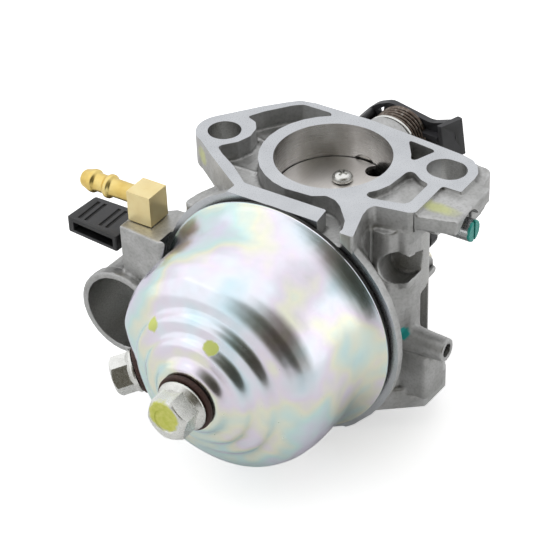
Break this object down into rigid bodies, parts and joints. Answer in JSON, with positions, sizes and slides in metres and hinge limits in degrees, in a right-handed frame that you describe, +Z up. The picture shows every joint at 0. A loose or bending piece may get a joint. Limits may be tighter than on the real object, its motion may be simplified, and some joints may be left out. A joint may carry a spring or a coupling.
{
  "type": "float-bowl carburetor",
  "caption": "Float-bowl carburetor for a small single-cylinder engine: cast aluminium body, zinc-plated bowl, choke, throttle, fuel valve with elbow, and a sediment-cup seat.",
  "frame": {"origin": "on the air-cleaner flange's machined face, on the ring straight above the bore axis and 18 mm from it", "axes": "+Y runs down the bore towards the engine, +Z is up as the carburetor sits on the engine, +X is the pilot-screw side"},
  "size_m": [0.1125, 0.071, 0.1214],
  "materials": {
    "cast_aluminium": "die cast, satin, machined faces bright",
    "yellow_zinc": "iridescent zinc plating",
    "bright_zinc": "bright zinc plating",
    "steel": "ground",
    "spring_steel": "tempered wire",
    "brass": "machined",
    "black_plastic": "moulded, satin",
    "rubber": "moulded",
    "red_fibre": "pressed fibre sealing washer",
    "felt": "oiled felt"
  },
  "bodies": {
    "carburetor": {"carburetor_body": "cast_aluminium", "float_bowl": "yellow_zinc", "bowl_gasket": "rubber", "bowl_bolt": "bright_zinc", "bowl_bolt_washer": "red_fibre", "drain_bolt": "bright_zinc", "drain_bolt_washer": "red_fibre", "main_jet": "brass", "emulsion_tube": "brass", "needle_seat": "brass", "float_pin": "steel", "choke_washer": "bright_zinc", "choke_spring": "spring_steel", "throttle_seal": "felt", "pilot_jet": "black_plastic", "idle_stop_spring": "spring_steel", "fuel_elbow": "brass", "fuel_valve_seal": "rubber"},
    "choke_valve": {"choke_shaft": "steel", "choke_plate": "bright_zinc", "choke_plate_screw": "bright_zinc", "choke_lever": "black_plastic"},
    "throttle_valve": {"throttle_shaft": "steel", "throttle_plate": "brass", "throttle_plate_screw": "bright_zinc", "throttle_lever": "yellow_zinc"},
    "fuel_valve": {"fuel_valve_lever": "black_plastic"},
    "float_arm": {"float": "black_plastic"},
    "needle": {"float_needle": "steel"},
    "pilot_adjuster": {"pilot_screw": "bright_zinc"},
    "idle_adjuster": {"idle_stop_screw": "bright_zinc"}
  },
  "joints": [
    {"name": "choke_hinge", "type": "hinge", "parent": "carburetor", "child": "choke_valve", "pos_m": [0, 0.012, -0.018], "axis": [0, 0, 1], "range_deg": [0, 80]},
    {"name": "throttle_hinge", "type": "hinge", "parent": "carburetor", "child": "throttle_valve", "pos_m": [0, 0.05, -0.018], "axis": [0, 0, 1], "range_deg": [0, 80]},
    {"name": "fuel_valve_hinge", "type": "hinge", "parent": "carburetor", "child": "fuel_valve", "pos_m": [-0.05, 0.0276, -0.0426], "axis": [-1, 0, 0], "range_deg": [0, 90]},
    {"name": "float_hinge", "type": "hinge", "parent": "carburetor", "child": "float_arm", "pos_m": [-0.025, 0.0337, -0.052], "axis": [0, 1, 0], "range_deg": [0, 3]},
    {"name": "needle_slide", "type": "slide", "parent": "carburetor", "child": "needle", "axis": [0, 0, 1], "range_m": [-0.0005, 0]},
    {"name": "pilot_screw_turn", "type": "hinge", "parent": "carburetor", "child": "pilot_adjuster", "pos_m": [0.044, 0.0072, -0.021], "axis": [1, 0, 0], "range_deg": [-720, 540]},
    {"name": "idle_screw_turn", "type": "hinge", "parent": "carburetor", "child": "idle_adjuster", "pos_m": [0.01, 0.0468, 0.0065], "axis": [0, 1, 0], "range_deg": [-540, 540]}
  ],
  "couplings": [
    {"joint": "needle_slide", "follows": "float_hinge", "m_per_rad": -0.008}
  ]
}
